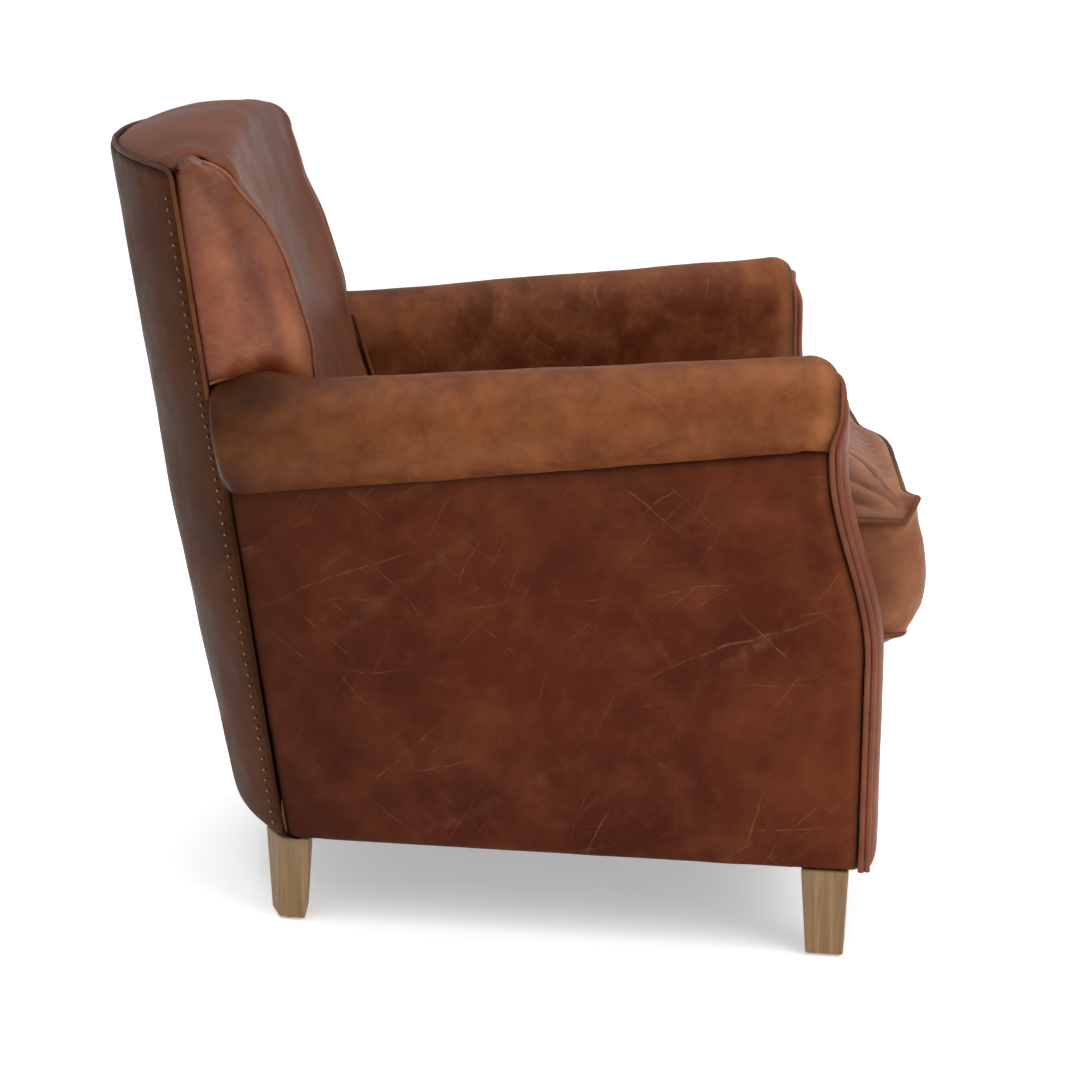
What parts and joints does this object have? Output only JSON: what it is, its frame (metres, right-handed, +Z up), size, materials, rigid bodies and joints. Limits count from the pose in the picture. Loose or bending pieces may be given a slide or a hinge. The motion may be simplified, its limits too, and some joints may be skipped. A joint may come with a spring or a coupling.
{
  "type": "upholstered armchair",
  "caption": "Leather club armchair with rolled splayed arms, a bowed back, piped edges, a loose boxed seat cushion and tapered oak legs.",
  "frame": {"origin": "on the floor, under the middle of the chair's box", "axes": "+Z up, the sitter faces -Y, and +X is the sitter's left"},
  "size_m": [0.6974, 0.8852, 0.863],
  "materials": {
    "leather_side": "aged pull-up leather, satin",
    "leather_arm": "aged pull-up leather, worn lighter on the rolls",
    "leather_back": "aged pull-up leather, glossy",
    "leather_outside_back": "aged pull-up leather, darker",
    "leather_cushion": "aged pull-up leather, lighter and creased",
    "leather_piping": "leather over cord, waxed edge",
    "leg_oak": "weathered oak, matt",
    "frame_wood": "sawn hardwood, unfinished",
    "glide_nylon": "nylon glide",
    "bright_steel": "drawn steel",
    "webbing": "woven elastic webbing",
    "deck_cloth": "woven platform cloth over thin foam",
    "black_cambric": "non-woven dust cover",
    "foam": "upholstery foam",
    "nail_brass": "small dulled nail heads",
    "zip_tape": "woven zip tape",
    "zip_metal": "antique brass zip slider"
  },
  "bodies": {
    "chair": {"leg_front_right": "leg_oak", "leg_front_left": "leg_oak", "leg_rear_right": "leg_oak", "leg_rear_left": "leg_oak", "leg_glides": "glide_nylon", "hanger_bolts": "bright_steel", "corner_blocks": "frame_wood", "front_rail": "frame_wood", "rear_rail": "frame_wood", "side_rail_right": "frame_wood", "side_rail_left": "frame_wood", "arm_front_board_right": "frame_wood", "arm_front_board_left": "frame_wood", "arm_rail_right": "frame_wood", "arm_rail_left": "frame_wood", "back_post_right": "frame_wood", "back_post_left": "frame_wood", "back_rib_top": "frame_wood", "back_rib_middle": "frame_wood", "back_rib_bottom": "frame_wood", "back_spring_rail": "frame_wood", "back_webbing": "webbing", "seat_springs": "bright_steel", "spring_clips": "bright_steel", "seat_deck": "deck_cloth", "dust_cover": "black_cambric", "outside_arm_right": "leather_side", "outside_arm_left": "leather_side", "arm_foam_right": "foam", "arm_foam_left": "foam", "arm_cover_right": "leather_arm", "arm_cover_left": "leather_arm", "roll_end_right": "leather_arm", "roll_end_left": "leather_arm", "arm_facing_right": "leather_side", "arm_facing_left": "leather_side", "facing_piping_right": "leather_piping", "facing_piping_left": "leather_piping", "front_apron": "leather_side", "outside_back": "leather_outside_back", "back_foam": "foam", "inside_back": "leather_back", "back_side_right": "leather_back", "back_side_left": "leather_back", "back_piping": "leather_piping", "back_nails": "nail_brass"},
    "seat_cushion": {"cushion_core": "foam", "cushion_cover": "leather_cushion", "cushion_piping_top": "leather_piping", "cushion_piping_bottom": "leather_piping", "zip_tape": "zip_tape"},
    "zip_slider": {"zip_slider": "zip_metal"}
  },
  "joints": [
    {"name": "cushion_lift", "type": "slide", "parent": "chair", "child": "seat_cushion", "axis": [0, 0, 1], "range_m": [0, 0.3]},
    {"name": "zip_slide", "type": "slide", "parent": "seat_cushion", "child": "zip_slider", "axis": [1, 0, 0], "range_m": [0, 0.322]}
  ]
}
